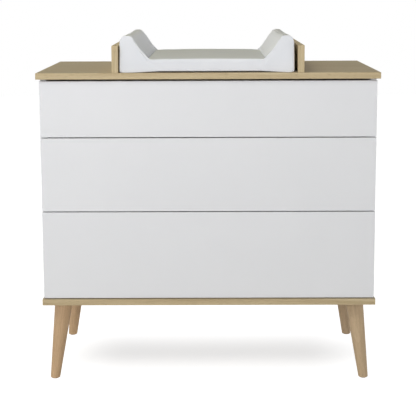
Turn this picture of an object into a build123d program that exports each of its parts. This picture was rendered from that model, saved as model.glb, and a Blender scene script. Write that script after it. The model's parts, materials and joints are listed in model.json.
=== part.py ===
from build123d import *
import os
from math import atan2, cos, radians, sin, tan

# Changing table: a handleless three-drawer chest on splayed legs. Two boards and a low rail on its top hold a
# loose changing pad with raised sides. The drawers run on telescopic runners and open with push latches.
# Millimetres. The origin is on the floor under the middle of the top. +Z is up and the drawers face -Y.

# Boards of the chest
BOARD = 18.0
TOP_WIDTH = 980.0
TOP_DEPTH = 550.0
TOP_OVERHANG = 8.0
BODY_WIDTH = TOP_WIDTH - 2 * TOP_OVERHANG
BOTTOM_OVERHANG = 4.0
BOTTOM_RECESS = 8.0
BACK_OVERHANG = 30.0
BACK_THICKNESS = 4.0
BACK_EDGE_MARGIN = 2.0
EDGE_ROUND = 1.0

# Drawer fronts and the gaps round them
FRONT_HEIGHTS = {"top": 161.0, "middle": 213.0, "bottom": 255.0}
FRONT_THICKNESS = 18.0
FRONT_RECESS = 15.0
FRONT_STANDOFF = 3.0
GAP_UNDER_TOP = 6.0
GAP_BETWEEN_FRONTS = 3.0
GAP_OVER_BOTTOM = 2.0

# Drawer boxes
BOX_BELOW = 25.0
BOX_ABOVE = 32.0
BOX_WALL = 15.0
BOX_FLOOR = 5.0
FLOOR_LIFT = 10.0
GROOVE_DEPTH = 6.0
GROOVE_CLEARANCE = 0.2

# Telescopic runners, seen in section
RUNNER_SPACE = 12.7
RUNNER_HEIGHT = 45.0
RUNNER_SHEET = 1.2
RUNNER_CLEARANCE = 0.4
RUNNER_FACE_GAP = 1.5
RUNNER_LIFT = 8.0
RUNNER_SETBACK = 2.0
RUNNER_SCREW_INSET = 60.0

# Push latches behind the drawer sides
LATCH_LENGTH = 30.0
LATCH_HEIGHT = 16.0
LATCH_WALL = 3.0
LATCH_EAR = 10.0
LATCH_BACK_GAP = 0.5
PLUNGER_RADIUS = 4.0
PLUNGER_OUT = 6.0
PLUNGER_END_GAP = 1.0
PLUNGER_BEVEL = 0.8
PRESS_GAP = 2.3

# Legs
LEG_HEIGHT = 234.0
LEG_TOP_RADIUS = 26.8
LEG_FOOT_RADIUS = 13.9
LEG_SPLAY = 28.0
LEG_FOOT_ROUND = 2.0
FOOT_INSET_X = 22.0
FOOT_INSET_Y = 55.0
GLIDE_RADIUS = 10.0
GLIDE_THICKNESS = 1.5
STUD_RADIUS = 4.0
STUD_IN_LEG = 40.0
STUD_END_GAP = 1.0
INSERT_RADIUS = 6.0
INSERT_SKIN = 3.5

# Joinery and fasteners
FIT_CLEARANCE = 0.1
DOWEL_RADIUS = 4.0
DOWEL_IN_FACE = 12.0
DOWEL_IN_EDGE = 18.0
DOWEL_END_GAP = 0.5
DOWEL_INSET = 110.0
CAM_RADIUS = 7.5
CAM_SKIN = 3.8
CAM_REACH = 24.0
CAM_BOLT_RADIUS = 3.0
CAM_BOLT_GRIP = 11.0
CAM_INSET = 70.0
CAM_KEY_WIDTH = 1.6
CAM_KEY_DEPTH = 2.0
SCREW_RADIUS = 1.75
SCREW_HEAD_RADIUS = 3.5
SCREW_LENGTH = 12.0
BACK_SCREW_LENGTH = 22.0
BACK_SCREWS_PER_SIDE = 5
BACK_SCREWS_ALONG_BOTTOM = 6
RECESS_WIDTH = 0.9
RECESS_SPAN = 3.8
RECESS_DEPTH = 1.3

# Wall anchors under the back of the top
ANCHOR_SPACING = 760.0
ANCHOR_WIDTH = 40.0
ANCHOR_DROP = 30.0
ANCHOR_SHEET = 2.0
ANCHOR_INSET = 2.0
ANCHOR_BACK_GAP = 1.0
ANCHOR_HOLE_RADIUS = 3.0
ANCHOR_HOLE_EDGE = 10.0
ANCHOR_SCREW_SPACING = 22.0

# Tray on the top
TRAY_INNER_WIDTH = 510.0
TRAY_HEIGHT = 77.0
TRAY_INSET = 2.0
TRAY_RAIL_HEIGHT = 30.0
TRAY_SCREW_LENGTH = 36.0
TRAY_SCREW_COUNT = 3
TRAY_DOWEL_INSET = 60.0

# Changing pad
PAD_SIDE_GAP = 5.0
PAD_FRONT_INSET = 10.0
PAD_BACK_GAP = 3.0
PAD_SEAT_GAP = 0.3
PAD_HEIGHT = 107.0
PAD_FLAT_THICKNESS = 38.0
PAD_FLAT_WIDTH = 336.0
PAD_LEAN = 4.0
PAD_CREST_WIDTH = 31.0
PAD_CROWN = 3.0
PAD_CROWN_ROUND = 4000.0
PAD_WAIST = 2.0
PAD_EDGE_ROUND = 12.0
PAD_VALLEY_ROUND = 10.0
PAD_END_ROUND = 6.0
PAD_END_STEPS = 3
COVER_THICKNESS = 1.2
FOAM_GAP = 0.3

# Places worked out from the sizes above, shared by the pieces that meet there
LEVELS = list(FRONT_HEIGHTS)
SIDES = {"left": -1, "right": 1}
ENDS = {"front": -1, "rear": 1}

top_front_y = -TOP_DEPTH / 2
top_back_y = TOP_DEPTH / 2
front_face_y = top_front_y + FRONT_RECESS
front_back_y = front_face_y + FRONT_THICKNESS
carcass_front_y = front_back_y + FRONT_STANDOFF
carcass_back_y = top_back_y - BACK_OVERHANG

carcass_floor_z = LEG_HEIGHT + BOARD
fronts_total = sum(FRONT_HEIGHTS.values()) + GAP_BETWEEN_FRONTS * (len(LEVELS) - 1)
carcass_roof_z = carcass_floor_z + GAP_OVER_BOTTOM + fronts_total + GAP_UNDER_TOP
top_surface_z = carcass_roof_z + BOARD

side_mid_x = BODY_WIDTH / 2 - BOARD / 2
inner_half = BODY_WIDTH / 2 - BOARD
box_half = inner_half - RUNNER_SPACE

latch_back_y = carcass_back_y - LATCH_BACK_GAP
latch_front_y = latch_back_y - LATCH_LENGTH
latch_half_height = LATCH_HEIGHT / 2
box_back_y = latch_front_y - PLUNGER_OUT - PRESS_GAP
plunger_x = box_half - BOX_WALL / 2
runner_front_y = carcass_front_y + RUNNER_SETBACK
runner_back_y = box_back_y

tray_half = TRAY_INNER_WIDTH / 2
tray_back_y = top_back_y - TRAY_INSET
rail_front_y = tray_back_y - BOARD
pad_front_y = top_front_y + PAD_FRONT_INSET
pad_back_y = rail_front_y - PAD_BACK_GAP
pad_base_z = top_surface_z + PAD_SEAT_GAP

insert_height = BOARD - INSERT_SKIN
screw_head_height = SCREW_HEAD_RADIUS - SCREW_RADIUS


def block(x0, x1, y0, y1, z0, z1):
    """A box between two corners, given in either order."""
    size = Box(abs(x1 - x0), abs(y1 - y0), abs(z1 - z0))
    return Pos((x0 + x1) / 2, (y0 + y1) / 2, (z0 + z1) / 2) * size


def rod(radius, z0, z1):
    """A cylinder on the local Z axis."""
    return Pos(0, 0, (z0 + z1) / 2) * Cylinder(radius, abs(z1 - z0))


def seat(origin, out, across):
    """A local frame: Z points out of the hole, X points across."""
    return Plane(origin=origin, x_dir=across, z_dir=out).location


def between(start, end, count):
    """Even places along a span, with half a step left at each end. The count is taken as a whole number."""
    whole = round(count)
    step = (end - start) / whole
    return [start + step * (index + 0.5) for index in range(whole)]


def save(name, *solids):
    """Write one node: a single solid, or a group of separate solids."""
    pieces = [piece for solid in solids for piece in solid.solids()]
    shape = pieces[0] if len(pieces) == 1 else Compound(children=pieces)
    shape.label = name
    export_step(shape, f"parts/{name}.step")


# Fasteners, each with the hole that it fits

def screw(length):
    """Countersunk screw, its head flush with local Z = 0 and its point down, with a cross recess."""
    head = Pos(0, 0, -screw_head_height / 2) * Cone(SCREW_RADIUS, SCREW_HEAD_RADIUS, screw_head_height)
    body = head + rod(SCREW_RADIUS, -length, -screw_head_height)
    for span in ((RECESS_SPAN, RECESS_WIDTH), (RECESS_WIDTH, RECESS_SPAN)):
        body -= Box(span[0], span[1], 2 * RECESS_DEPTH)
    return body


def screw_hole(length):
    """Hole for a countersunk screw."""
    head_radius = SCREW_HEAD_RADIUS + FIT_CLEARANCE
    shank_radius = SCREW_RADIUS + FIT_CLEARANCE
    head = Pos(0, 0, -screw_head_height / 2) * Cone(shank_radius, head_radius, screw_head_height)
    return head + rod(shank_radius, -length - FIT_CLEARANCE, -screw_head_height)


def dowel():
    """Wooden dowel across a joint at local Z = 0, with its longer half in the board edge below."""
    return rod(DOWEL_RADIUS, -DOWEL_IN_EDGE, DOWEL_IN_FACE)


def dowel_hole():
    """Dowel hole through both boards of the joint."""
    return rod(DOWEL_RADIUS + FIT_CLEARANCE, -DOWEL_IN_EDGE - DOWEL_END_GAP, DOWEL_IN_FACE + DOWEL_END_GAP)


def cam_across(radius, board, extra):
    """Cylinder of a cam lock, lying across a board of the given thickness from its inner face at local +X."""
    height = board - CAM_SKIN + extra
    place = Plane(origin=(board / 2, 0, -CAM_REACH), z_dir=(-1, 0, 0)).location
    return place * rod(radius, 0, height)


def cam_disc(board):
    """Cam lock flush with the inner face, bored for its bolt and slotted for a screwdriver."""
    disc = cam_across(CAM_RADIUS, board, 0)
    disc -= rod(CAM_BOLT_RADIUS + FIT_CLEARANCE, -CAM_REACH - FIT_CLEARANCE, 0)
    key = Box(2 * CAM_KEY_DEPTH, CAM_KEY_WIDTH, CAM_RADIUS)
    return disc - Pos(board / 2, 0, -CAM_REACH) * key


def cam_bolt():
    """Bolt that the cam pulls on: it grips the board above local Z = 0 and ends in the cam below."""
    return rod(CAM_BOLT_RADIUS, -CAM_REACH, CAM_BOLT_GRIP)


def cam_bolt_hole():
    """Bolt hole through both boards of the joint."""
    return rod(CAM_BOLT_RADIUS + FIT_CLEARANCE, -CAM_REACH, CAM_BOLT_GRIP + FIT_CLEARANCE)


def cam_pocket(board):
    """Pocket for the cam in the inner face of its board."""
    return cam_across(CAM_RADIUS + FIT_CLEARANCE, board, FIT_CLEARANCE)


# Places of the joints and fasteners, as local frames

def roof_joints(side, inset):
    """Joints of one side panel with the top, at the given inset from its front and back."""
    ys = (carcass_front_y + inset, carcass_back_y - inset)
    return [seat((side * side_mid_x, y, carcass_roof_z), (0, 0, 1), (-side, 0, 0)) for y in ys]


def floor_joints(side, inset):
    """Joints of one side panel with the bottom panel, at the given inset from its front and back."""
    ys = (carcass_front_y + inset, carcass_back_y - inset)
    return [seat((side * side_mid_x, y, carcass_floor_z), (0, 0, -1), (-side, 0, 0)) for y in ys]


def carcass_joints(side, inset):
    """Joints at both ends of one side panel."""
    return roof_joints(side, inset) + floor_joints(side, inset)


def back_screws_in_side(side):
    """Screws through the back panel into the rear edge of one side panel."""
    heights = between(carcass_floor_z, carcass_roof_z, BACK_SCREWS_PER_SIDE)
    x = side * side_mid_x
    y = carcass_back_y + BACK_THICKNESS
    return [seat((x, y, z), (0, 1, 0), (1, 0, 0)) for z in heights]


def back_screws_in_bottom():
    """Screws through the back panel into the rear edge of the bottom panel."""
    y = carcass_back_y + BACK_THICKNESS
    z = LEG_HEIGHT + BOARD / 2
    across = between(-inner_half, inner_half, BACK_SCREWS_ALONG_BOTTOM)
    return [seat((x, y, z), (0, 1, 0), (1, 0, 0)) for x in across]


def runner_screws_in_panel(side, level):
    """Screws through a fixed runner channel into the side panel."""
    x = side * (inner_half - RUNNER_SHEET)
    ys = (runner_front_y + RUNNER_SCREW_INSET, runner_back_y - RUNNER_SCREW_INSET)
    return [seat((x, y, runner_z(level)), (-side, 0, 0), (0, 1, 0)) for y in ys]


def runner_screws_in_box(side, level):
    """Screws through a drawer runner channel into the drawer side."""
    x = side * (box_half + RUNNER_SHEET)
    ys = (runner_front_y + RUNNER_SCREW_INSET, runner_back_y - RUNNER_SCREW_INSET)
    return [seat((x, y, runner_z(level)), (side, 0, 0), (0, 1, 0)) for y in ys]


def latch_screws(side, level):
    """Screws through the two ears of a latch housing into the side panel."""
    x = side * (inner_half - LATCH_WALL)
    offset = latch_half_height + LATCH_EAR / 2
    mid_y = (latch_front_y + latch_back_y) / 2
    zs = (latch_z(level) - offset, latch_z(level) + offset)
    return [seat((x, mid_y, z), (-side, 0, 0), (0, 1, 0)) for z in zs]


def anchor_x(side):
    """Middle of one wall anchor."""
    return side * ANCHOR_SPACING / 2


def anchor_screws(side):
    """Screws up through one wall anchor into the top."""
    flange_front = carcass_back_y + BACK_THICKNESS + ANCHOR_BACK_GAP
    y = (flange_front + top_back_y - ANCHOR_INSET - ANCHOR_SHEET) / 2
    z = carcass_roof_z - ANCHOR_SHEET
    half = ANCHOR_SCREW_SPACING / 2
    xs = (anchor_x(side) - half, anchor_x(side) + half)
    return [seat((x, y, z), (0, 0, -1), (1, 0, 0)) for x in xs]


def tray_screws():
    """Screws up through the back overhang of the top into the tray rail."""
    y = tray_back_y - BOARD / 2
    across = between(-tray_half, tray_half, TRAY_SCREW_COUNT)
    return [seat((x, y, carcass_roof_z), (0, 0, -1), (1, 0, 0)) for x in across]


def tray_board_dowels(side):
    """Dowels that stand one tray board on the top."""
    x = side * (tray_half + BOARD / 2)
    ys = (top_front_y + TRAY_DOWEL_INSET, rail_front_y - TRAY_DOWEL_INSET)
    return [seat((x, y, top_surface_z), (0, 0, -1), (1, 0, 0)) for y in ys]


def tray_rail_dowels(side):
    """Dowel that joins the tray rail to one tray board."""
    origin = (side * tray_half, tray_back_y - BOARD / 2, top_surface_z + TRAY_RAIL_HEIGHT / 2)
    return [seat(origin, (side, 0, 0), (0, 1, 0))]


def foot_place(side, end):
    """Middle of a foot on the floor, counted in from the body's side and from the top's edge."""
    return side * (BODY_WIDTH / 2 - FOOT_INSET_X), end * (TOP_DEPTH / 2 - FOOT_INSET_Y)


def leg_top_place(side, end):
    """Middle of a leg's upper end, drawn in from its foot by the splay."""
    x, y = foot_place(side, end)
    return x - side * LEG_SPLAY, y - end * LEG_SPLAY


def each_leg():
    """Name, side and end of every leg."""
    return [(f"{end}_{side}", SIDES[side], ENDS[end]) for end in ENDS for side in SIDES]


# Heights of the drawers

def front_span(level):
    """Lower and upper edge of a drawer front."""
    below = LEVELS[LEVELS.index(level) + 1:]
    z0 = carcass_floor_z + GAP_OVER_BOTTOM + sum(FRONT_HEIGHTS[name] + GAP_BETWEEN_FRONTS for name in below)
    return z0, z0 + FRONT_HEIGHTS[level]


def box_span(level):
    """Lower and upper edge of a drawer box."""
    z0, z1 = front_span(level)
    return z0 + BOX_BELOW, z1 - BOX_ABOVE


def floor_span(level):
    """Lower and upper face of a drawer floor."""
    z0 = box_span(level)[0] + FLOOR_LIFT
    return z0, z0 + BOX_FLOOR


def runner_z(level):
    """Middle of a drawer's runners."""
    return box_span(level)[0] + RUNNER_LIFT + RUNNER_HEIGHT / 2


def latch_z(level):
    """Middle of a drawer's latches."""
    return sum(box_span(level)) / 2


def box_joint_heights(level):
    """Two heights for the fittings of a drawer box, shared out above the floor groove."""
    return between(floor_span(level)[1], box_span(level)[1], 2)


def front_joints(side, level):
    """Cam joints between one drawer side and the drawer front."""
    x = side * (box_half - BOX_WALL / 2)
    heights = box_joint_heights(level)
    return [seat((x, front_back_y, z), (0, -1, 0), (-side, 0, 0)) for z in heights]


def back_joints(side, level):
    """Dowel joints between the drawer back and one drawer side."""
    x = side * (box_half - BOX_WALL)
    y = box_back_y - BOX_WALL / 2
    return [seat((x, y, z), (side, 0, 0), (0, 1, 0)) for z in box_joint_heights(level)]


# Chest

def top_panel():
    panel = block(-TOP_WIDTH / 2, TOP_WIDTH / 2, top_front_y, top_back_y, carcass_roof_z, top_surface_z)
    panel = fillet(panel.edges(), EDGE_ROUND)
    for side in SIDES.values():
        panel -= [place * cam_bolt_hole() for place in roof_joints(side, CAM_INSET)]
        panel -= [place * dowel_hole() for place in roof_joints(side, DOWEL_INSET)]
        panel -= [place * dowel_hole() for place in tray_board_dowels(side)]
        panel -= [place * screw_hole(SCREW_LENGTH) for place in anchor_screws(side)]
    return panel - [place * screw_hole(TRAY_SCREW_LENGTH) for place in tray_screws()]


def bottom_panel():
    half = BODY_WIDTH / 2 + BOTTOM_OVERHANG
    panel = block(-half, half, top_front_y + BOTTOM_RECESS, carcass_back_y, LEG_HEIGHT, carcass_floor_z)
    panel = fillet(panel.edges(), EDGE_ROUND)
    for side in SIDES.values():
        panel -= [place * cam_bolt_hole() for place in floor_joints(side, CAM_INSET)]
        panel -= [place * dowel_hole() for place in floor_joints(side, DOWEL_INSET)]
    for name, side, end in each_leg():
        x, y = leg_top_place(side, end)
        panel -= Pos(x, y, LEG_HEIGHT) * rod(INSERT_RADIUS + FIT_CLEARANCE, 0, insert_height + FIT_CLEARANCE)
    return panel - [place * screw_hole(BACK_SCREW_LENGTH) for place in back_screws_in_bottom()]


def side_panel(side):
    panel = block(side * inner_half, side * BODY_WIDTH / 2, carcass_front_y, carcass_back_y,
                  carcass_floor_z, carcass_roof_z)
    for place in carcass_joints(side, CAM_INSET):
        panel -= [place * cam_bolt_hole(), place * cam_pocket(BOARD)]
    panel -= [place * dowel_hole() for place in carcass_joints(side, DOWEL_INSET)]
    panel -= [place * screw_hole(BACK_SCREW_LENGTH) for place in back_screws_in_side(side)]
    for level in LEVELS:
        places = runner_screws_in_panel(side, level) + latch_screws(side, level)
        panel -= [place * screw_hole(SCREW_LENGTH) for place in places]
    return panel


def back_panel():
    half = BODY_WIDTH / 2 - BACK_EDGE_MARGIN
    panel = block(-half, half, carcass_back_y, carcass_back_y + BACK_THICKNESS,
                  LEG_HEIGHT + BACK_EDGE_MARGIN, carcass_roof_z - BACK_EDGE_MARGIN)
    places = back_screws_in_bottom() + back_screws_in_side(-1) + back_screws_in_side(1)
    return panel - [place * screw_hole(BACK_SCREW_LENGTH) for place in places]


def carcass_cam_fittings():
    places = carcass_joints(-1, CAM_INSET) + carcass_joints(1, CAM_INSET)
    return [place * cam_disc(BOARD) for place in places] + [place * cam_bolt() for place in places]


def wooden_dowels():
    places = []
    for side in SIDES.values():
        places += carcass_joints(side, DOWEL_INSET) + tray_board_dowels(side) + tray_rail_dowels(side)
    return [place * dowel() for place in places]


def back_panel_screws():
    places = back_screws_in_bottom() + back_screws_in_side(-1) + back_screws_in_side(1)
    return [place * screw(BACK_SCREW_LENGTH) for place in places]


def cabinet_screws():
    places = []
    for side in SIDES.values():
        for level in LEVELS:
            places += runner_screws_in_panel(side, level) + latch_screws(side, level)
    return [place * screw(SCREW_LENGTH) for place in places]


# Legs

def leg(side, end):
    """Turned, tapered leg, cut level at the foot and under the bottom panel, with its lower edge rounded."""
    foot = Vector(*foot_place(side, end), 0)
    head = Vector(*leg_top_place(side, end), LEG_HEIGHT)
    axis = head - foot
    spare = axis.length / 2
    flare = (LEG_TOP_RADIUS - LEG_FOOT_RADIUS) * spare / axis.length
    cone = Cone(LEG_FOOT_RADIUS - flare, LEG_TOP_RADIUS + flare, axis.length + 2 * spare)
    middle = (foot + head) * 0.5
    turned = Plane(origin=middle, z_dir=axis).location * cone
    reach = 2 * (LEG_TOP_RADIUS + LEG_SPLAY)
    slab = block(foot.X - reach, foot.X + reach, foot.Y - reach, foot.Y + reach, GLIDE_THICKNESS, LEG_HEIGHT)
    body = turned & slab
    body = fillet(body.edges().group_by(Axis.Z)[0], LEG_FOOT_ROUND)
    hole = rod(STUD_RADIUS + FIT_CLEARANCE, -STUD_IN_LEG - STUD_END_GAP, 0)
    return body - Pos(head.X, head.Y, LEG_HEIGHT) * hole


def leg_studs():
    stud = rod(STUD_RADIUS, -STUD_IN_LEG, insert_height - STUD_END_GAP)
    return [Pos(*leg_top_place(side, end), LEG_HEIGHT) * stud for name, side, end in each_leg()]


def leg_inserts():
    sleeve = rod(INSERT_RADIUS, 0, insert_height) - rod(STUD_RADIUS + FIT_CLEARANCE, 0, insert_height)
    return [Pos(*leg_top_place(side, end), LEG_HEIGHT) * sleeve for name, side, end in each_leg()]


def foot_glides():
    glide = rod(GLIDE_RADIUS, 0, GLIDE_THICKNESS)
    return [Pos(*foot_place(side, end), 0) * glide for name, side, end in each_leg()]


# Runners

def runner_bar(side, level, u0, u1, v0, v1):
    """Straight bar of a runner: u is counted from the side panel inwards, v up from the runner's middle."""
    z = runner_z(level)
    x0 = side * (inner_half - u0)
    x1 = side * (inner_half - u1)
    return block(x0, x1, runner_front_y, runner_back_y, z + v0, z + v1)


def channel(side, level, web, flange, half):
    """U channel from the spans of its web and flanges across the runner, and half its height."""
    bar = runner_bar(side, level, *web, -half, half)
    for turn in (-1, 1):
        bar += runner_bar(side, level, *flange, turn * (half - RUNNER_SHEET), turn * half)
    return bar


def outer_channel(side, level):
    half = RUNNER_HEIGHT / 2
    edge = RUNNER_SPACE - RUNNER_FACE_GAP
    bar = channel(side, level, (0, RUNNER_SHEET), (0, edge), half)
    lip = half - 2 * RUNNER_SHEET - RUNNER_CLEARANCE
    for turn in (-1, 1):
        bar += runner_bar(side, level, edge - RUNNER_SHEET, edge, turn * lip, turn * half)
    return bar - [place * screw_hole(SCREW_LENGTH) for place in runner_screws_in_panel(side, level)]


def floating_channel(side, level):
    inner = RUNNER_SHEET + RUNNER_CLEARANCE
    outer = RUNNER_SPACE - RUNNER_FACE_GAP - RUNNER_SHEET - RUNNER_CLEARANCE
    return channel(side, level, (inner, inner + RUNNER_SHEET), (inner, outer), RUNNER_HEIGHT / 2 - inner)


def inner_channel(side, level):
    inner = 2 * (RUNNER_SHEET + RUNNER_CLEARANCE)
    web = (RUNNER_SPACE - RUNNER_SHEET, RUNNER_SPACE)
    bar = channel(side, level, web, (inner, RUNNER_SPACE), RUNNER_HEIGHT / 2 - inner)
    return bar - [place * screw_hole(SCREW_LENGTH) for place in runner_screws_in_box(side, level)]


# Push latches

def latch_housing(side, level):
    """Block behind the drawer side, bored for its plunger, with an ear above and below."""
    z = latch_z(level)
    wall_x = side * inner_half
    body = block(wall_x, side * (box_half - BOX_WALL), latch_front_y, latch_back_y,
                 z - latch_half_height, z + latch_half_height)
    ear = latch_half_height + LATCH_EAR
    body += block(wall_x, side * (inner_half - LATCH_WALL), latch_front_y, latch_back_y, z - ear, z + ear)
    place = seat((side * plunger_x, latch_front_y, z), (0, -1, 0), (1, 0, 0))
    body -= place * rod(PLUNGER_RADIUS + FIT_CLEARANCE, -(LATCH_LENGTH - LATCH_WALL), 0)
    return body - [screw_place * screw_hole(SCREW_LENGTH) for screw_place in latch_screws(side, level)]


def plunger(side, level):
    """Sprung pin of a push latch, with a bevelled tip."""
    place = seat((side * plunger_x, latch_front_y, latch_z(level)), (0, -1, 0), (1, 0, 0))
    pin = rod(PLUNGER_RADIUS, -(LATCH_LENGTH - LATCH_WALL - PLUNGER_END_GAP), PLUNGER_OUT)
    return place * chamfer(pin.edges().group_by(Axis.Z)[-1], PLUNGER_BEVEL)


# Drawers

def drawer_front(level):
    z0, z1 = front_span(level)
    panel = block(-BODY_WIDTH / 2, BODY_WIDTH / 2, front_face_y, front_back_y, z0, z1)
    panel = fillet(panel.edges(), EDGE_ROUND)
    for side in SIDES.values():
        panel -= [place * cam_bolt_hole() for place in front_joints(side, level)]
    return panel - floor_groove(level)


def floor_groove(level):
    """Room for the drawer floor in the front, the sides and the back."""
    z0, z1 = floor_span(level)
    half = box_half - BOX_WALL + GROOVE_DEPTH
    return block(-half, half, front_back_y - GROOVE_DEPTH, box_back_y - BOX_WALL + GROOVE_DEPTH,
                 z0, z1 + GROOVE_CLEARANCE)


def drawer_side(side, level):
    z0, z1 = box_span(level)
    panel = block(side * (box_half - BOX_WALL), side * box_half, front_back_y, box_back_y, z0, z1)
    for place in front_joints(side, level):
        panel -= [place * cam_bolt_hole(), place * cam_pocket(BOX_WALL)]
    panel -= [place * dowel_hole() for place in back_joints(side, level)]
    panel -= [place * screw_hole(SCREW_LENGTH) for place in runner_screws_in_box(side, level)]
    return panel - floor_groove(level)


def drawer_back(level):
    z0, z1 = box_span(level)
    half = box_half - BOX_WALL
    panel = block(-half, half, box_back_y - BOX_WALL, box_back_y, z0, z1)
    for side in SIDES.values():
        panel -= [place * dowel_hole() for place in back_joints(side, level)]
    return panel - floor_groove(level)


def drawer_floor(level):
    z0, z1 = floor_span(level)
    reach = GROOVE_DEPTH - GROOVE_CLEARANCE
    half = box_half - BOX_WALL + reach
    return block(-half, half, front_back_y - reach, box_back_y - BOX_WALL + reach, z0, z1)


def drawer_dowels(level):
    return [place * dowel() for side in SIDES.values() for place in back_joints(side, level)]


def drawer_fasteners(level):
    """Cam locks and bolts of the front, and the screws of the runners."""
    fasteners = []
    for side in SIDES.values():
        for place in front_joints(side, level):
            fasteners += [place * cam_disc(BOX_WALL), place * cam_bolt()]
        fasteners += [place * screw(SCREW_LENGTH) for place in runner_screws_in_box(side, level)]
    return fasteners


# Wall anchors and tray

def wall_anchor(side):
    """Angle bracket under the back overhang, with a hole that faces the wall."""
    x0 = anchor_x(side) - ANCHOR_WIDTH / 2
    x1 = anchor_x(side) + ANCHOR_WIDTH / 2
    back = top_back_y - ANCHOR_INSET
    front = carcass_back_y + BACK_THICKNESS + ANCHOR_BACK_GAP
    bracket = block(x0, x1, front, back, carcass_roof_z - ANCHOR_SHEET, carcass_roof_z)
    bracket += block(x0, x1, back - ANCHOR_SHEET, back, carcass_roof_z - ANCHOR_DROP, carcass_roof_z)
    hole_z = carcass_roof_z - ANCHOR_DROP + ANCHOR_HOLE_EDGE
    hole = seat((anchor_x(side), back, hole_z), (0, 1, 0), (1, 0, 0))
    bracket -= hole * rod(ANCHOR_HOLE_RADIUS, -ANCHOR_SHEET, 0)
    return bracket - [place * screw_hole(SCREW_LENGTH) for place in anchor_screws(side)]


def anchor_fasteners():
    return [place * screw(SCREW_LENGTH) for side in SIDES.values() for place in anchor_screws(side)]


def tray_board(side):
    board = block(side * tray_half, side * (tray_half + BOARD), top_front_y + TRAY_INSET, tray_back_y,
                  top_surface_z, top_surface_z + TRAY_HEIGHT)
    board = fillet(board.edges(), EDGE_ROUND)
    board -= [place * dowel_hole() for place in tray_board_dowels(side)]
    return board - [place * dowel_hole() for place in tray_rail_dowels(side)]


def tray_rail():
    rail = block(-tray_half, tray_half, rail_front_y, tray_back_y,
                 top_surface_z, top_surface_z + TRAY_RAIL_HEIGHT)
    rail -= [place * dowel_hole() for side in SIDES.values() for place in tray_rail_dowels(side)]
    return rail - [place * screw_hole(TRAY_SCREW_LENGTH) for place in tray_screws()]


def tray_fasteners():
    return [place * screw(TRAY_SCREW_LENGTH) for place in tray_screws()]


# Changing pad

def pad_outline(swell, inset):
    """Section of the pad across X: two wedges with round crests and a crowned flat between them, all drawn in
    by an inset. Swell goes from 0 at the ends of the pad to 1 at its middle."""
    base = tray_half - PAD_SIDE_GAP - PAD_WAIST * swell
    outer = base - PAD_LEAN
    crest = outer - PAD_CREST_WIDTH
    valley = PAD_FLAT_WIDTH / 2
    flat = PAD_FLAT_THICKNESS
    outer_turn = radians(90) + atan2(PAD_LEAN, PAD_HEIGHT)
    inner_turn = atan2(PAD_HEIGHT - flat, crest - valley)
    crest_round = 0.97 * PAD_CREST_WIDTH / (tan(outer_turn / 2) + tan(inner_turn / 2))
    half = [(base, 0), (outer, PAD_HEIGHT), (crest, PAD_HEIGHT), (valley, flat)]
    rounds = [PAD_EDGE_ROUND, crest_round, crest_round, PAD_VALLEY_ROUND]
    middle = (0, flat + PAD_CROWN * (1 + swell))
    points = half + [middle] + [(-x, z) for x, z in reversed(half)]
    corner_rounds = rounds + [PAD_CROWN_ROUND] + rounds[::-1]
    outline = make_face(FilletPolyline(*points, radius=corner_rounds, close=True))
    return offset(outline, -inset) if inset else outline


def pad_form(inset):
    """The pad's whole shape, drawn in by an inset: a loft from its rounded front to its rounded back."""
    stations = []
    for step in range(PAD_END_STEPS):
        angle = radians(90) * step / (PAD_END_STEPS - 1)
        run = PAD_END_ROUND * (1 - cos(angle))
        draw = PAD_END_ROUND * (1 - sin(angle))
        stations.append((run, draw))
    front = pad_front_y + inset
    back = pad_back_y - inset
    spots = [(front + run, draw, 0) for run, draw in stations]
    spots += [((front + back) / 2, 0, 1)]
    spots += [(back - run, draw, 0) for run, draw in reversed(stations)]
    faces = []
    for y, draw, swell in spots:
        place = Plane(origin=(0, y, pad_base_z), x_dir=(1, 0, 0), z_dir=(0, -1, 0))
        faces.append(place.location * pad_outline(swell, inset + draw))
    return loft(faces, ruled=True)


def pad_cover():
    return pad_form(0) - pad_form(COVER_THICKNESS)


def pad_foam():
    """Foam in the cover, cut into a flat middle and two wedges."""
    core = pad_form(COVER_THICKNESS + FOAM_GAP)
    cut = PAD_FLAT_WIDTH / 2
    low = pad_base_z
    high = pad_base_z + PAD_HEIGHT
    pieces = {"pad_flat_foam": (-cut + FOAM_GAP / 2, cut - FOAM_GAP / 2),
              "pad_left_wedge": (-tray_half, -cut - FOAM_GAP / 2),
              "pad_right_wedge": (cut + FOAM_GAP / 2, tray_half)}
    rooms = {name: block(x0, x1, pad_front_y, pad_back_y, low, high) for name, (x0, x1) in pieces.items()}
    return {name: core & room for name, room in rooms.items()}


# Write every node

os.makedirs("parts", exist_ok=True)

save("top_panel", top_panel())
save("bottom_panel", bottom_panel())
save("back_panel", back_panel())
save("carcass_cam_fittings", *carcass_cam_fittings())
save("wooden_dowels", *wooden_dowels())
save("back_panel_screws", *back_panel_screws())
save("cabinet_screws", *cabinet_screws())
save("latch_housings", *[latch_housing(side, level) for level in LEVELS for side in SIDES.values()])
save("leg_studs", *leg_studs())
save("leg_inserts", *leg_inserts())
save("foot_glides", *foot_glides())
save("wall_anchors", *[wall_anchor(side) for side in SIDES.values()])
save("wall_anchor_screws", *anchor_fasteners())
save("tray_back_rail", tray_rail())
save("tray_screws", *tray_fasteners())
save("pad_cover", pad_cover())

for side_name, side_sign in SIDES.items():
    save(f"{side_name}_side_panel", side_panel(side_sign))
    save(f"tray_{side_name}_board", tray_board(side_sign))

for leg_name, leg_side, leg_end in each_leg():
    save(f"{leg_name}_leg", leg(leg_side, leg_end))

for foam_name, foam in pad_foam().items():
    save(foam_name, foam)

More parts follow.
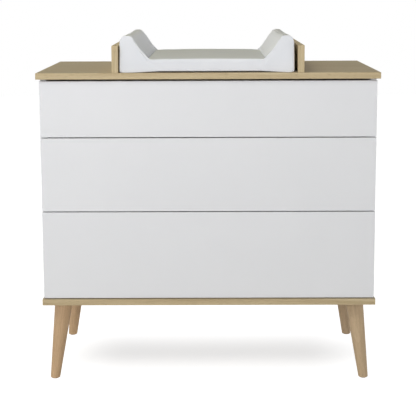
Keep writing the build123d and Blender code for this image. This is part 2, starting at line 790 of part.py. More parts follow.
for drawer in LEVELS:
    save(f"{drawer}_drawer_front", drawer_front(drawer))
    save(f"{drawer}_drawer_back", drawer_back(drawer))
    save(f"{drawer}_drawer_floor", drawer_floor(drawer))
    save(f"{drawer}_drawer_dowels", *drawer_dowels(drawer))
    save(f"{drawer}_drawer_fasteners", *drawer_fasteners(drawer))
    for side_name, side_sign in SIDES.items():
        save(f"{drawer}_drawer_{side_name}_side", drawer_side(side_sign, drawer))
    save(f"{drawer}_runner_outer_channels", *[outer_channel(side, drawer) for side in SIDES.values()])
    save(f"{drawer}_runner_floating_channels", *[floating_channel(side, drawer) for side in SIDES.values()])
    save(f"{drawer}_runner_inner_channels", *[inner_channel(side, drawer) for side in SIDES.values()])
    save(f"{drawer}_latch_plungers", *[plunger(side, drawer) for side in SIDES.values()])
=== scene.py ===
import json
from math import pi, radians, sin, tan

import bmesh
import bpy
import numpy as np
from mathutils import Matrix, Vector, noise


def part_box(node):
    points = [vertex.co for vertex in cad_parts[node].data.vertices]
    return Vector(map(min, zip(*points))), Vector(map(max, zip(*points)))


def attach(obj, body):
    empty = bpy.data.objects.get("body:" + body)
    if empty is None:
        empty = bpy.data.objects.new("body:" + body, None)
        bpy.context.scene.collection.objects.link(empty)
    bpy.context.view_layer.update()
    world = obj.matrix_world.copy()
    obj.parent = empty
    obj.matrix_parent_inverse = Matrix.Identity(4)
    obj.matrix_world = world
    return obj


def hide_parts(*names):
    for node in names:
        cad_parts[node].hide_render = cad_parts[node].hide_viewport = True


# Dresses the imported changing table. Oak, white boards and metal get procedural materials, and the changing
# pad is a sewn, padded mesh. Metres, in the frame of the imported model.

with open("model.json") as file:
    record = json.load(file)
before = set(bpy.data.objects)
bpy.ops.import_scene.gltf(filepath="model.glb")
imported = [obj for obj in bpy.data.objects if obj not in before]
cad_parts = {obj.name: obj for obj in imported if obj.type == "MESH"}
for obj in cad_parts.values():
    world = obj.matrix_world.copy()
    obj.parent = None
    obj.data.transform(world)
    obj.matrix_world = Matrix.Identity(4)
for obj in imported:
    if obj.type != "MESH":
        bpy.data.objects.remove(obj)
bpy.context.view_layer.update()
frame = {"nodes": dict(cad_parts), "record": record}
nodes = frame["nodes"]
scene = bpy.context.scene


# Node helpers

NOISE_RANGE = (0.3, 0.7)
FACING = 0.7


def node(tree, kind, values=(), **settings):
    """A shader node. A value that is a socket is linked, and any other value is set."""
    made = tree.nodes.new("ShaderNode" + kind)
    for key, value in settings.items():
        setattr(made, key, value)
    for key, value in dict(values).items():
        if isinstance(value, bpy.types.NodeSocket):
            tree.links.new(value, made.inputs[key])
        else:
            made.inputs[key].default_value = value
    return made


def math(tree, operation, a, b=0.0):
    return node(tree, "Math", {0: a, 1: b}, operation=operation).outputs[0]


def plus(tree, a, b):
    return math(tree, "ADD", a, b)


def minus(tree, a, b):
    return math(tree, "SUBTRACT", a, b)


def times(tree, a, b):
    return math(tree, "MULTIPLY", a, b)


def mix(tree, factor, a, b, blend="MIX"):
    made = node(tree, "Mix", {0: factor, 6: a, 7: b}, data_type="RGBA", blend_type=blend)
    return made.outputs[2]


def fit(tree, value, low, high, out_low=0.0, out_high=1.0):
    """A value carried from one range to another, held within it."""
    made = node(tree, "MapRange", {0: value, 1: low, 2: high, 3: out_low, 4: out_high})
    return made.outputs[0]


def spread(tree, value, low=0.0, high=1.0):
    """Noise carried from its usual range to another."""
    return fit(tree, value, *NOISE_RANGE, low, high)


def rgb(red, green, blue):
    return (red, green, blue, 1.0)


def mottled(tree, value, dull, bright):
    """Two tints mixed by noise."""
    return mix(tree, spread(tree, value), rgb(*dull), rgb(*bright))


def object_place(tree):
    return node(tree, "TexCoord").outputs["Object"]


def facing(tree, axis):
    """1 on the faces that look along an axis, either way."""
    normal = node(tree, "TexCoord").outputs["Normal"]
    part = node(tree, "SeparateXYZ", {0: normal}).outputs[axis]
    return math(tree, "GREATER_THAN", math(tree, "ABSOLUTE", part), FACING)


def grain_noise(tree, vector, waves, detail, rough, offset=(0, 0, 0)):
    """Noise with its own waves per metre along each axis, its layers of detail and their strength."""
    place = node(tree, "Mapping", {"Vector": vector, "Scale": waves, "Location": offset}).outputs[0]
    made = node(tree, "TexNoise", {"Vector": place, "Scale": 1.0, "Detail": detail, "Roughness": rough})
    return made.outputs[0]


def material(name, **sockets):
    """A material with a Principled shader, whose plain values are set by socket name."""
    made = bpy.data.materials.new(name)
    made.use_nodes = True
    shader = made.node_tree.nodes["Principled BSDF"]
    for key, value in sockets.items():
        shader.inputs[key.replace("_", " ")].default_value = value
    return made, made.node_tree, shader


def bump(tree, shader, height, strength, distance):
    made = node(tree, "Bump", {"Height": height, "Strength": strength, "Distance": distance})
    tree.links.new(made.outputs[0], shader.inputs["Normal"])


def connect(tree, shader, socket, value):
    tree.links.new(value, shader.inputs[socket])


# Wood

AXIS_ORDER = {"X": (0, 1, 2), "Y": (1, 2, 0), "Z": (2, 0, 1)}
SEED_STEPS = (1.7, 0.61, 0.37)

# Noises of the figure: waves per metre along the grain and two ways across it, detail and roughness
DRIFT = ((0.9, 7, 7), 2, 0.5)
SWAY = ((1.6, 5, 5), 2, 0.5)
STREAKS = ((2.6, 120, 120), 5, 0.66)
FIBRES = ((14, 900, 900), 3, 0.6)
PORES = ((55, 1500, 1500), 2, 0.5)

# Growth lines per metre, and how much each part of the figure counts
LINES_ACROSS = 46.0
LINES_THROUGH = 31.0
LINE_SWAY = 5.5
LINE_DRIFT = 3.0
LINE_SHARPNESS = 2.2
LINE_SHADE = 0.16
STREAK_SHADE = 0.95
DRIFT_SHADE = 0.42
FIBRE_SHADE = 0.22
TONE_RANGE = (0.45, 0.98)
PORE_RANGE = (0.60, 0.70)
PORE_SHADE = 0.45
PORE_DARKNESS = 0.5
WOOD_ROUGHNESS = (0.58, 0.68)
PORE_ROUGHNESS = 0.12
FIBRE_RELIEF = 0.35
WOOD_BUMP = 0.25
WOOD_RELIEF = 0.0003
OAK_TONES = ((0.46, 0.357, 0.208), (0.565, 0.453, 0.277), (0.63, 0.522, 0.333))
LEG_TONES = ((0.425, 0.292, 0.17), (0.522, 0.365, 0.216), (0.60, 0.43, 0.262))
BEECH_TONES = ((0.52, 0.36, 0.21), (0.62, 0.45, 0.28), (0.68, 0.52, 0.34))


def along(tree, coordinates, axis):
    """Coordinates turned so that their X runs along the given axis."""
    parts = node(tree, "SeparateXYZ", {0: coordinates}).outputs
    order = AXIS_ORDER[axis]
    return node(tree, "CombineXYZ", {place: parts[order[place]] for place in range(3)}).outputs[0]


def board_grain(tree, axis, end_axis):
    """Grain along one axis, and along another on the banded ends that face the first."""
    place = object_place(tree)
    is_end = facing(tree, AXIS_ORDER[axis][0])
    face = along(tree, place, axis)
    end = along(tree, place, end_axis)
    return node(tree, "Mix", {0: is_end, 4: face, 5: end}, data_type="VECTOR").outputs[1]


def wood(tree, shader, grain, tones, seed, figure=1.0, face=None):
    """Figure on coordinates whose X runs along the grain: growth lines, streaks, fibres and open pores."""
    shift = [seed * step for step in SEED_STEPS]
    drift = grain_noise(tree, grain, *DRIFT, shift)
    sway = grain_noise(tree, grain, *SWAY, shift)
    streaks = grain_noise(tree, grain, *STREAKS, shift)
    fibres = grain_noise(tree, grain, *FIBRES, shift)
    pores = fit(tree, grain_noise(tree, grain, *PORES, shift), *PORE_RANGE)
    parts = node(tree, "SeparateXYZ", {0: grain}).outputs
    across = plus(tree, times(tree, parts[1], LINES_ACROSS), times(tree, sway, LINE_SWAY))
    across = plus(tree, across, times(tree, parts[2], LINES_THROUGH))
    rings = math(tree, "FRACT", plus(tree, across, times(tree, drift, LINE_DRIFT)))
    lines = math(tree, "POWER", rings, LINE_SHARPNESS)
    tone = minus(tree, times(tree, streaks, STREAK_SHADE), times(tree, lines, LINE_SHADE * figure))
    tone = plus(tree, tone, times(tree, drift, DRIFT_SHADE))
    tone = plus(tree, tone, times(tree, fibres, FIBRE_SHADE))
    tone = fit(tree, tone, *TONE_RANGE)
    dark, middle, light = tones
    colour = mix(tree, fit(tree, tone, 0.0, 0.5), rgb(*dark), rgb(*middle))
    colour = mix(tree, fit(tree, tone, 0.5, 1.0), colour, rgb(*light))
    pore_tone = rgb(*[PORE_DARKNESS * part for part in dark])
    colour = mix(tree, times(tree, pores, PORE_SHADE), colour, pore_tone)
    # Painted shade: faces that look up or down are multiplied by the face shade, darker and greyer
    if face:
        painted_face_shade = mix(tree, 1.0, colour, rgb(*face), "MULTIPLY")
        colour = mix(tree, facing(tree, 2), colour, painted_face_shade)
    connect(tree, shader, "Base Color", colour)
    rough = plus(tree, spread(tree, streaks, *WOOD_ROUGHNESS), times(tree, pores, PORE_ROUGHNESS))
    connect(tree, shader, "Roughness", rough)
    relief = minus(tree, times(tree, fibres, FIBRE_RELIEF), pores)
    bump(tree, shader, relief, WOOD_BUMP, WOOD_RELIEF)


def oak_board(name, axis, end_axis, seed, face):
    """Oak board. Its faces that look up or down can get painted shade, darker and greyer than its edges."""
    made, tree, shader = material(name, Specular_IOR_Level=0.12)
    wood(tree, shader, board_grain(tree, axis, end_axis), OAK_TONES, seed, face=face)
    return made


def oak_leg(name, foot, head, seed, tint):
    """Turned oak: the grain follows the leg's own axis, and each leg has its own tint."""
    made, tree, shader = material(name, Specular_IOR_Level=0.35)
    turn = (head - foot).to_track_quat("X", "Z").inverted().to_euler()
    grain = node(tree, "Mapping", {"Vector": object_place(tree), "Rotation": turn}).outputs[0]
    tones = [[part * share for part, share in zip(tone, tint)] for tone in LEG_TONES]
    wood(tree, shader, grain, tones, seed, figure=0.8)
    return made


def beech_dowel():
    made, tree, shader = material("beech", Specular_IOR_Level=0.3)
    wood(tree, shader, object_place(tree), BEECH_TONES, seed=7, figure=0.4)
    return made


# Boards, metal, plastic, felt and cloth

THREAD_PITCH = 0.0011
THREAD_RELIEF = 0.02


def white_lacquer():
    """Satin lacquer: nearly even, with a faint orange peel and slow changes of gloss."""
    made, tree, shader = material("white_front", Specular_IOR_Level=0.4)
    place = object_place(tree)
    slow = grain_noise(tree, place, [2.3] * 3, detail=3, rough=0.6)
    peel = grain_noise(tree, place, [420] * 3, detail=2, rough=0.5)
    tint = mottled(tree, slow, (0.80, 0.808, 0.826), (0.822, 0.829, 0.846))
    connect(tree, shader, "Base Color", tint)
    connect(tree, shader, "Roughness", spread(tree, slow, 0.40, 0.48))
    bump(tree, shader, peel, strength=0.05, distance=0.0002)
    return made


def white_melamine():
    """Matt white board with a fine pebbled face."""
    made, tree, shader = material("white_board", Specular_IOR_Level=0.4)
    place = object_place(tree)
    slow = grain_noise(tree, place, [3.1] * 3, detail=3, rough=0.6)
    pebble = node(tree, "TexVoronoi", {"Vector": place, "Scale": 700.0}, feature="SMOOTH_F1").outputs[0]
    tint = mottled(tree, slow, (0.77, 0.775, 0.775), (0.80, 0.80, 0.795))
    connect(tree, shader, "Base Color", tint)
    connect(tree, shader, "Roughness", fit(tree, pebble, 0.0, 1.0, 0.52, 0.64))
    bump(tree, shader, pebble, strength=0.12, distance=0.0002)
    return made


def zinc_steel():
    """Zinc-plated steel, drawn along Y, with a faint spangle."""
    made, tree, shader = material("zinc_steel", Metallic=1.0)
    place = object_place(tree)
    spangle = node(tree, "TexVoronoi", {"Vector": place, "Scale": 240.0}).outputs["Color"]
    share = node(tree, "SeparateColor", {0: spangle}).outputs[0]
    drawn = grain_noise(tree, place, (1800, 20, 1800), detail=2, rough=0.6)
    tint = mix(tree, share, rgb(0.56, 0.57, 0.585), rgb(0.69, 0.70, 0.705))
    connect(tree, shader, "Base Color", tint)
    connect(tree, shader, "Roughness", spread(tree, drawn, 0.26, 0.42))
    bump(tree, shader, drawn, strength=0.12, distance=0.0001)
    return made


def moulded_plastic(name, dark, light):
    """Moulded plastic with a fine spark-eroded grain."""
    made, tree, shader = material(name, Specular_IOR_Level=0.5)
    place = object_place(tree)
    grain = grain_noise(tree, place, [1500] * 3, detail=2, rough=0.6)
    slow = grain_noise(tree, place, [60] * 3, detail=2, rough=0.5)
    connect(tree, shader, "Base Color", mottled(tree, slow, dark, light))
    connect(tree, shader, "Roughness", spread(tree, grain, 0.42, 0.58))
    bump(tree, shader, grain, strength=0.2, distance=0.0001)
    return made


def pressed_felt():
    made, tree, shader = material("felt", Specular_IOR_Level=0.1, Roughness=1.0)
    fibre = grain_noise(tree, object_place(tree), (1600, 1600, 700), detail=5, rough=0.7)
    tint = mottled(tree, fibre, (0.20, 0.155, 0.115), (0.31, 0.25, 0.19))
    connect(tree, shader, "Base Color", tint)
    bump(tree, shader, fibre, strength=0.6, distance=0.0005)
    return made


def coated_cloth():
    """Wipe-clean coated cloth: a fine weave under the coat, and slight creases."""
    made, tree, shader = material("pad_cover", Specular_IOR_Level=0.06)
    place = object_place(tree)
    parts = node(tree, "SeparateXYZ", {0: place}).outputs
    threads = [math(tree, "SINE", times(tree, parts[axis], 2 * pi / THREAD_PITCH)) for axis in range(3)]
    weave = plus(tree, plus(tree, threads[0], threads[1]), threads[2])
    slow = grain_noise(tree, place, [7] * 3, detail=3, rough=0.6)
    crease = grain_noise(tree, place, (6, 26, 16), detail=3, rough=0.55)
    tint = mottled(tree, slow, (0.793, 0.812, 0.85), (0.823, 0.838, 0.87))
    connect(tree, shader, "Base Color", tint)
    connect(tree, shader, "Roughness", spread(tree, slow, 0.60, 0.70))
    relief = plus(tree, times(tree, weave, THREAD_RELIEF), crease)
    bump(tree, shader, relief, strength=0.3, distance=0.002)
    return made


# Finish of each node: its own, or that of its material slot

FOOT_SLICE = 0.003
HEAD_SLICE = 0.0005
# Painted shade on the top and bottom panels' faces that look up or down: darker and greyer
FACE_PAINTED_SHADE = (0.84, 0.86, 0.94)
BOARDS = {"top_panel": ("X", "Y", 1, FACE_PAINTED_SHADE), "bottom_panel": ("X", "Y", 2, FACE_PAINTED_SHADE),
          "tray_back_rail": ("X", "Y", 3, None), "tray_left_board": ("Y", "Z", 4, None),
          "tray_right_board": ("Y", "Z", 5, None)}
REDDISH = (1.03, 0.99, 0.955)
GREYISH = (1.02, 1.05, 1.08)
PALE = (1.07, 1.13, 1.18)
LEGS = {"front_left_leg": (11, REDDISH), "front_right_leg": (12, PALE),
        "rear_left_leg": (13, REDDISH), "rear_right_leg": (14, GREYISH)}


def leg_line(name):
    """Middle of a leg's foot and of its upper end."""
    corners = np.array([corner.co for corner in nodes[name].data.vertices], float)
    heights = corners[:, 2]
    low = corners[heights < heights.min() + FOOT_SLICE]
    high = corners[heights > heights.max() - HEAD_SLICE]
    return Vector((low.min(0) + low.max(0)) / 2), Vector((high.min(0) + high.max(0)) / 2)


finishes = {"white_front": white_lacquer(), "white_board": white_melamine(), "zinc_steel": zinc_steel(),
            "beech": beech_dowel(), "felt": pressed_felt(), "pad_cover": coated_cloth(),
            "grey_plastic": moulded_plastic("grey_plastic", (0.50, 0.51, 0.52), (0.58, 0.59, 0.60)),
            "dark_plastic": moulded_plastic("dark_plastic", (0.085, 0.085, 0.09), (0.115, 0.115, 0.125)),
            "foam": moulded_plastic("foam", (0.80, 0.78, 0.68), (0.87, 0.85, 0.76))}
for board, settings in BOARDS.items():
    finishes[board] = oak_board("oak_" + board, *settings)
for leg, settings in LEGS.items():
    finishes[leg] = oak_leg("oak_" + leg, *leg_line(leg), *settings)

for row in frame["record"]["subparts"]:
    name = row["node"]
    slots = nodes[name].data.materials
    slots.clear()
    slots.append(finishes[name] if name in finishes else finishes[row["material_slot"]])


# Changing pad: its place comes from its solid and from the tray board beside it

PAD_SEAT = 0.0001
PAD_FRONT_ROOM = 0.0025
PAD_BACK_ROOM = 0.0020
PAD_BACK_SWELL = 0.0025
PAD_SIDE_GAP = 0.0015
PAD_SHIFT = -0.0035
pad_low, pad_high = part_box("pad_cover")
tray_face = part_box("tray_right_board")[0][0]
PAD_BASE = pad_low[2] + PAD_SEAT
PAD_FRONT = pad_low[1] + PAD_FRONT_ROOM
PAD_BACK = pad_high[1] - PAD_BACK_ROOM
PAD_BACK_LIMIT = pad_high[1] + PAD_BACK_SWELL
PAD_REACH = tray_face - PAD_SIDE_GAP

# Outline of the pad, from its middle and its base
PAD_FOOT = 0.2490
PAD_FOOT_ROUND = 0.0040
PAD_TUCK = 0.0060
PAD_OUTER = 0.2463
PAD_OUTER_ROUND = 0.0175
PAD_TOP = 0.1050
PAD_CREST = 0.2140
PAD_CREST_ROUND = 0.0155
PAD_VALLEY = 0.1690
PAD_VALLEY_ROUND = 0.0030
PAD_FLAT = 0.0375
PAD_FLAT_MARGIN = 0.0020
PAD_CROWN = 0.0030
PAD_WAIST = 0.007
PAD_WAIST_HEIGHT = 0.05
PAD_END_EASE = 0.20
PAD_EDGE = 0.0026
PAD_EDGE_STEP = 0.3

# Mesh and filling of the pad
PAD_STEP = 0.0075
PAD_ARC_STEP = 0.6 * PAD_STEP
PAD_END_LEVELS = 9
PAD_CREASE = 0.55
PAD_PUFF = 0.0026
PAD_PUFF_FRAMES = 20
PAD_FIRMNESS = 0.85

# Small forms of the cover: sunk seams, ripples, a lifted front edge and a dent below each valley
SEAM_DEPTH = 0.0011
RIPPLE_DEPTH = 0.0006
RIPPLE_FOOT = 0.004
RIPPLE_WAVES = (9, 16, 11)
FINE_RIPPLE_WAVES = (22, 30, 22)
FINE_RIPPLE_SHARE = 0.5
LIFT_RISE = 0.0040
LIFT_MIDDLE = 0.01
LIFT_HALF = 0.225
LIFT_FADE = 0.10
LIFT_REACH = 0.03
DENT_DEPTH = 0.0016
DENT_WIDTH = 0.0035
DENT_SLOPE = 0.35
DENT_LEAN = 0.94
DENT_DROP = 0.006
DENT_LENGTH = 0.018
DENT_START = 0.005
DENT_REACH = 0.02


def rounded(points, radii, step, arc_step):
    """A line through points with round corners, sampled about every step, and the place of each corner."""
    line = []
    corners = []
    for index, point in enumerate(points):
        here = Vector(point)
        radius = radii[index]
        if not radius:
            corners.append(len(line))
            line.append(here)
            continue
        back = (Vector(points[index - 1]) - here).normalized()
        ahead = (Vector(points[index + 1]) - here).normalized()
        half = back.angle(ahead) / 2
        reach = radius / tan(half)
        middle = here + (back + ahead).normalized() * (radius / sin(half))
        start = here + back * reach - middle
        end = here + ahead * reach - middle
        sweep = start.angle_signed(end)
        count = max(2, round(abs(sweep) * radius / arc_step))
        corners.append(len(line) + count // 2)
        for part in range(count + 1):
            line.append(middle + Matrix.Rotation(-sweep * part / count, 2) @ start)
    full = [line[0]]
    marks = {corners[0]: 0}
    for index in range(1, len(line)):
        run = line[index] - line[index - 1]
        count = max(1, round(run.length / step))
        full += [line[index - 1] + run * part / count for part in range(1, count + 1)]
        marks[index] = len(full) - 1
    return full, [marks[corner] for corner in corners]


def pad_outline():
    """Upper outline of the pad across X, from its left foot to its right foot, and its two valleys."""
    half = [(PAD_FOOT, 0.0), (PAD_OUTER, PAD_TOP), (PAD_CREST, PAD_TOP), (PAD_VALLEY, PAD_FLAT)]
    rounds = [PAD_FOOT_ROUND, PAD_OUTER_ROUND, PAD_CREST_ROUND, PAD_VALLEY_ROUND]
    tucked = PAD_FOOT - PAD_TUCK
    left = [(-tucked, 0.0)] + [(-x, z) for x, z in half]
    right = half[::-1] + [(tucked, 0.0)]
    radii = [0] + rounds + rounds[::-1] + [0]
    line, corners = rounded(left + right, radii, PAD_STEP, PAD_ARC_STEP)
    return line, (corners[4], corners[5])


def ease(value):
    """0 to 1, flat at both ends."""
    held = min(max(value, 0.0), 1.0)
    return held * held * (3 - 2 * held)


def pad_point(x, z, y):
    """A point of the outline at a place along Y: the flat is crowned and the sides are drawn in a little."""
    middle = ease(min(y - PAD_FRONT, PAD_BACK - y) / PAD_END_EASE)
    if abs(x) < PAD_VALLEY and z > PAD_FLAT - PAD_FLAT_MARGIN:
        z += PAD_CROWN * (0.5 + 0.5 * middle) * (1 - (x / PAD_VALLEY) ** 2)
    x *= 1 - PAD_WAIST * middle * ease(z / PAD_WAIST_HEIGHT)
    return Vector((x, y, PAD_BASE + z))


def pad_rows():
    """Places of the outline along Y, and how far it is drawn in at each, which rounds the two ends over."""
    first = PAD_FRONT + PAD_EDGE
    last = PAD_BACK - PAD_EDGE
    steps = round((last - first) / PAD_STEP)
    nose = [(0.0, PAD_EDGE), (PAD_EDGE_STEP * PAD_EDGE, PAD_EDGE_STEP * PAD_EDGE)]
    rows = [(PAD_FRONT + inset, draw) for inset, draw in nose]
    rows += [(first + (last - first) * step / steps, 0.0) for step in range(steps + 1)]
    rows += [(PAD_BACK - inset, draw) for inset, draw in reversed(nose)]
    return rows


def inward_ways(line):
    """Direction into the pad at each point of its outline."""
    last = len(line) - 1
    ways = []
    for index in range(len(line)):
        run = (line[min(index + 1, last)] - line[max(index - 1, 0)]).normalized()
        ways.append(Vector((run.y, -run.x)))
    return ways


def pad_rings(mesh, line):
    """Rings of corners along Y: the outline above, and a straight row below that shares its two ends."""
    last = len(line) - 1
    foot = line[last].x
    ways = inward_ways(line)
    rings = []
    for y, draw in pad_rows():
        upper = []
        lower = []
        for index in range(len(line)):
            x, z = line[index] + ways[index] * draw
            top = mesh.verts.new(pad_point(x, max(z, 0.0), y))
            upper.append(top)
            if 0 < index < last:
                lower.append(mesh.verts.new((-foot + 2 * foot * index / last, y, PAD_BASE)))
            else:
                lower.append(top)
        rings.append((upper, lower))
    return rings


def end_panel(mesh, upper, lower):
    """Closes one end of the pad with rows of faces between its outline and the row below."""
    columns = []
    for top, low in zip(upper, lower):
        if top is low:
            columns.append([top] * (PAD_END_LEVELS + 1))
            continue
        shares = [level / PAD_END_LEVELS for level in range(1, PAD_END_LEVELS)]
        between = [mesh.verts.new(top.co.lerp(low.co, share)) for share in shares]
        columns.append([top] + between + [low])
    for left, right in zip(columns, columns[1:]):
        for level in range(PAD_END_LEVELS):
            around = (left[level], right[level], right[level + 1], left[level + 1])
            corners = list(dict.fromkeys(around))
            if len(corners) > 2:
                mesh.faces.new(corners)


def pad_mesh():
    """Closed mesh of the pad, a strip round its outline between two sewn ends, with its seams and base."""
    line, valleys = pad_outline()
    mesh = bmesh.new()
    rings = pad_rings(mesh, line)
    for (upper, lower), (next_upper, next_lower) in zip(rings, rings[1:]):
        for index in range(len(line) - 1):
            mesh.faces.new((upper[index], next_upper[index], next_upper[index + 1], upper[index + 1]))
            mesh.faces.new((lower[index], lower[index + 1], next_lower[index + 1], next_lower[index]))
    for upper, lower in (rings[0], rings[-1]):
        end_panel(mesh, upper, lower)
    seams = set(rings[0][0] + rings[-1][0])
    seams.update(upper[valley] for upper, lower in rings for valley in valleys)
    base = {corner for upper, lower in rings for corner in lower}
    crease = mesh.edges.layers.float.new("crease_edge")
    for edge in mesh.edges:
        if seams.issuperset(edge.verts):
            edge[crease] = PAD_CREASE
    bmesh.ops.recalc_face_normals(mesh, faces=mesh.faces)
    mesh.verts.index_update()
    groups = [sorted(corner.index for corner in corners) for corners in (seams, base)]
    made = bpy.data.meshes.new("changing_pad")
    mesh.to_mesh(made)
    mesh.free()
    return made, groups


def apply_modifiers(piece):
    """Puts the piece's evaluated mesh in place of its mesh and its modifiers."""
    bpy.context.view_layer.update()
    graph = bpy.context.evaluated_depsgraph_get()
    evaluated = piece.evaluated_get(graph)
    done = bpy.data.meshes.new_from_object(evaluated, preserve_all_data_layers=True, depsgraph=graph)
    piece.modifiers.clear()
    piece.data = done


def puff(piece):
    """Blows the cover up from its seams, up to the puff's limit. The foam lets it sink in very little."""
    before = np.array([corner.co for corner in piece.data.vertices])
    normals = np.array([corner.normal for corner in piece.data.vertices])
    cloth = piece.modifiers.new("cloth", "CLOTH")
    settings = cloth.settings
    settings.quality = 6
    settings.mass = 0.3
    settings.tension_stiffness = 25
    settings.compression_stiffness = 25
    settings.shear_stiffness = 10
    settings.bending_stiffness = 2
    settings.use_pressure = True
    settings.uniform_pressure_force = 4
    settings.vertex_group_mass = "held"
    settings.effector_weights.gravity = 0
    cloth.point_cache.frame_start = 1
    cloth.point_cache.frame_end = PAD_PUFF_FRAMES
    for number in range(1, PAD_PUFF_FRAMES + 1):
        scene.frame_set(number)
    apply_modifiers(piece)
    after = np.array([corner.co for corner in piece.data.vertices])
    move = after - before
    sunk = np.minimum(np.sum(move * normals, axis=1, keepdims=True), 0.0)
    move -= normals * sunk * PAD_FIRMNESS
    length = np.linalg.norm(move, axis=1, keepdims=True)
    move *= np.minimum(1.0, PAD_PUFF / np.maximum(length, 1e-9))
    piece.data.vertices.foreach_set("co", (before + move).ravel())
    scene.frame_set(1)


def group_weights(piece, name):
    """Weight of every vertex in a vertex group."""
    index = piece.vertex_groups[name].index
    weights = np.zeros(len(piece.data.vertices))
    for corner in piece.data.vertices:
        for member in corner.groups:
            if member.group == index:
                weights[corner.index] = member.weight
    return weights


def waves_at(place, waves):
    """Noise at a place, with its own waves per metre along each axis."""
    return noise.noise(Vector([part * rate for part, rate in zip(place, waves)]))


def front_lift(x, y, height):
    """How far the front edge lifts off the top: most of all in its middle."""
    along_edge = ease((LIFT_HALF - abs(x - LIFT_MIDDLE)) / LIFT_FADE)
    near_front = ease(1 - (y - PAD_FRONT) / LIFT_REACH)
    return LIFT_RISE * along_edge * near_front * ease(1 - height / LIFT_REACH)


def front_dent(x, y, height):
    """How far the front is drawn in, along a short slanting crease below each valley."""
    drop = PAD_FLAT - height
    nearness = 0.0
    for side in (-1, 1):
        across = (PAD_VALLEY - side * x - DENT_SLOPE * drop) * DENT_LEAN
        nearness += np.exp(-(across / DENT_WIDTH) ** 2)
    on_crease = ease(1 - abs(drop - DENT_DROP) / DENT_LENGTH)
    return DENT_DEPTH * nearness * on_crease * ease(1 - (y - PAD_FRONT + DENT_START) / DENT_REACH)


def soften(piece):
    """Sinks the seams, and adds the cover's ripples, its lifted front edge and its dents."""
    data = piece.data
    points = np.array([corner.co for corner in data.vertices])
    normals = np.array([corner.normal for corner in data.vertices])
    seam = group_weights(piece, "seam")
    points -= normals * (seam ** 2)[:, None] * SEAM_DEPTH
    for index, (x, y, z) in enumerate(points):
        height = z - PAD_BASE
        if height > RIPPLE_FOOT:
            ripple = waves_at((x, y, z), RIPPLE_WAVES)
            ripple += FINE_RIPPLE_SHARE * waves_at((x, y, z), FINE_RIPPLE_WAVES)
            points[index] += normals[index] * ripple * RIPPLE_DEPTH
        points[index][2] += front_lift(x, y, height)
        points[index][1] += front_dent(x, y, height)
    points[:, 0] = np.clip(points[:, 0] + PAD_SHIFT, -PAD_REACH, PAD_REACH)
    points[:, 1] = np.minimum(points[:, 1], PAD_BACK_LIMIT)
    points[:, 2] = np.maximum(points[:, 2], PAD_BASE)
    data.vertices.foreach_set("co", points.ravel())
    data.update()


def changing_pad():
    data, (seams, base) = pad_mesh()
    made = bpy.data.objects.new("changing_pad", data)
    scene.collection.objects.link(made)
    for name, members in (("seam", seams), ("held", sorted(set(seams) | set(base)))):
        made.vertex_groups.new(name=name).add(members, 1.0, "REPLACE")
    puff(made)
    smooth = made.modifiers.new("smooth", "SUBSURF")
    smooth.levels = 1
    apply_modifiers(made)
    soften(made)
    made.vertex_groups.clear()
    for face in made.data.polygons:
        face.use_smooth = True
    made.data.materials.clear()
    made.data.materials.append(finishes["pad_cover"])
    return made


pad = changing_pad()
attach(pad, "pad")
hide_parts("pad_cover", "pad_flat_foam", "pad_left_wedge", "pad_right_wedge")


# Stage, light and camera

FLOOR_HALF = 9.0
FLOOR_DROP = 0.0004
FLOOR_GLOW = 0.665
FLOOR_SHADE = 0.35
FLOOR_ALBEDO = 0.75
SHADOW_RIGHT = 0.018
SHADOW_BACK = 0.022
SHADOW_REACH = 0.275
SHADOW_FADE = 0.29
FRONT_BAND = (2.18, 2.21, 2.25)
SIDE_BAND = (0.7, 0.69, 0.71)
BAND_TOP = 0.5
BAND_TURN = (-0.2, -0.8)
CAMERA_PLACE = (0.0134, -3.5456, 1.1453)
CAMERA_TURN = radians(0.252)
CAMERA_PITCH = radians(8.281)
CAMERA_ROLL = radians(0.2)
CAMERA_SENSOR = 36.0
CAMERA_LENS = 100.02
CAMERA_SHIFT = -0.12
CAMERA_FAR = 60.0


def seen(tree):
    """1 for the rays that show a surface to the camera: straight, in a reflection or through another."""
    path = node(tree, "LightPath")
    shown = math(tree, "MAXIMUM", path.outputs["Is Camera Ray"], path.outputs["Is Glossy Ray"])
    return math(tree, "MAXIMUM", shown, path.outputs["Is Transmission Ray"])


def white_floor():
    """Floor that shows white by its glow, which is lower in an oval under the object to show its shadow."""
    made = bpy.data.materials.new("floor")
    made.use_nodes = True
    tree = made.node_tree
    tree.nodes.clear()
    plain = node(tree, "BsdfDiffuse", {"Color": rgb(*[FLOOR_ALBEDO] * 3)})
    shade = node(tree, "BsdfDiffuse", {"Color": rgb(*[FLOOR_SHADE] * 3)})
    place = node(tree, "SeparateXYZ", {0: object_place(tree)}).outputs
    aside = math(tree, "ABSOLUTE", minus(tree, place[0], SHADOW_RIGHT))
    past = math(tree, "MAXIMUM", minus(tree, aside, SHADOW_REACH), 0.0)
    across = minus(tree, place[1], SHADOW_BACK)
    spot = node(tree, "CombineXYZ", {0: past, 1: across}).outputs[0]
    away = node(tree, "VectorMath", {0: spot}, operation="LENGTH").outputs["Value"]
    fade = node(tree, "MapRange", {0: away, 1: 0.0, 2: SHADOW_FADE, 3: FLOOR_GLOW, 4: 1.0},
                interpolation_type="SMOOTHSTEP")
    glow = node(tree, "Emission", {"Color": rgb(1, 1, 1), "Strength": fade.outputs[0]})
    shown = node(tree, "AddShader", {0: shade.outputs[0], 1: glow.outputs[0]})
    both = node(tree, "MixShader", {0: seen(tree), 1: plain.outputs[0], 2: shown.outputs[0]})
    node(tree, "OutputMaterial", {"Surface": both.outputs[0]})
    return made


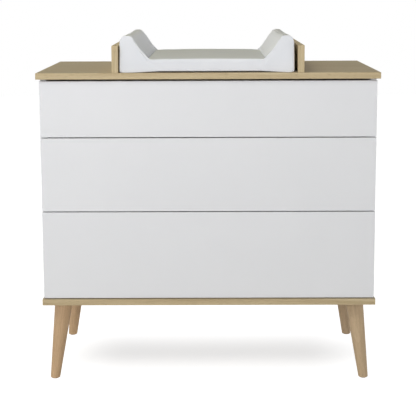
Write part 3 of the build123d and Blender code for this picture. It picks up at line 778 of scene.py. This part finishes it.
def floor():
    data = bpy.data.meshes.new("floor")
    corners = [(-1, -1), (1, -1), (1, 1), (-1, 1)]
    data.from_pydata([(x * FLOOR_HALF, y * FLOOR_HALF, 0) for x, y in corners], [], [(0, 1, 2, 3)])
    made = bpy.data.objects.new("floor", data)
    data.materials.append(white_floor())
    scene.collection.objects.link(made)
    made.location.z = -FLOOR_DROP


def white_world():
    """A band round the horizon, brighter in front of the object, lights it. The background shows white."""
    world = bpy.data.worlds.new("studio")
    scene.world = world
    world.use_nodes = True
    tree = world.node_tree
    tree.nodes.clear()
    way = node(tree, "SeparateXYZ", {0: node(tree, "TexCoord").outputs["Generated"]}).outputs
    band = mix(tree, fit(tree, way[1], *BAND_TURN), rgb(*SIDE_BAND), rgb(*FRONT_BAND))
    fill = mix(tree, fit(tree, way[2], 0.0, BAND_TOP), band, rgb(0, 0, 0))
    shown = mix(tree, seen(tree), fill, rgb(1, 1, 1))
    light = node(tree, "Background", {"Color": shown, "Strength": 1.0})
    node(tree, "OutputWorld", {"Surface": light.outputs[0]})


def area_light(name, place, aim, size, power, colour, glossy=True):
    """A rectangular lamp turned to a height on the object's upright axis. Power is in watts."""
    data = bpy.data.lights.new(name, "AREA")
    data.shape = "RECTANGLE"
    data.size, data.size_y = size
    data.energy = power
    data.color = colour
    made = bpy.data.objects.new(name, data)
    made.location = place
    made.rotation_euler = (Vector((0, 0, aim)) - Vector(place)).to_track_quat("-Z", "Y").to_euler()
    made.visible_glossy = glossy
    scene.collection.objects.link(made)


def camera():
    data = bpy.data.cameras.new("camera")
    data.sensor_width = CAMERA_SENSOR
    data.lens = CAMERA_LENS
    data.shift_y = CAMERA_SHIFT
    data.clip_end = CAMERA_FAR
    made = bpy.data.objects.new("camera", data)
    turn = Matrix.Rotation(CAMERA_TURN, 4, "Z") @ Matrix.Rotation(pi / 2 - CAMERA_PITCH, 4, "X")
    made.matrix_world = Matrix.Translation(CAMERA_PLACE) @ turn @ Matrix.Rotation(-CAMERA_ROLL, 4, "Z")
    scene.collection.objects.link(made)
    scene.camera = made


floor()
white_world()
area_light("high_front", (-1.4, -3.4, 3.6), aim=0.7, size=(1.8, 1.0), power=47, colour=(1.01, 1.0, 0.91))
area_light("low_front", (-1.4, -3.9, 1.5), aim=0.6, size=(1.8, 1.0), power=20, colour=(0.97, 0.95, 1.08))
area_light("left", (-4.0, -1.6, 1.5), aim=0.7, size=(2.0, 1.6), power=11, colour=(0.93, 0.93, 1.14))
area_light("high_left", (-3.0, -1.4, 3.2), aim=0.8, size=(1.6, 1.6), power=5, colour=(1.0, 0.99, 0.92))
area_light("right", (3.9, 1.3, 1.5), aim=0.7, size=(2.0, 1.6), power=30, colour=(1.0, 0.99, 0.97))
area_light("rear_left", (-3.9, 1.3, 1.5), aim=0.7, size=(2.0, 1.6), power=18, colour=(1.0, 0.99, 0.97))
area_light("rear", (0.0, 4.2, 1.2), aim=0.6, size=(3.0, 1.8), power=52, colour=(0.97, 0.98, 1.08),
           glossy=False)
area_light("overhead", (-1.3, -0.4, 4.0), aim=0.9, size=(2.5, 2.5), power=18, colour=(1.2, 1.12, 0.58))
camera()
scene.view_settings.view_transform = "Standard"
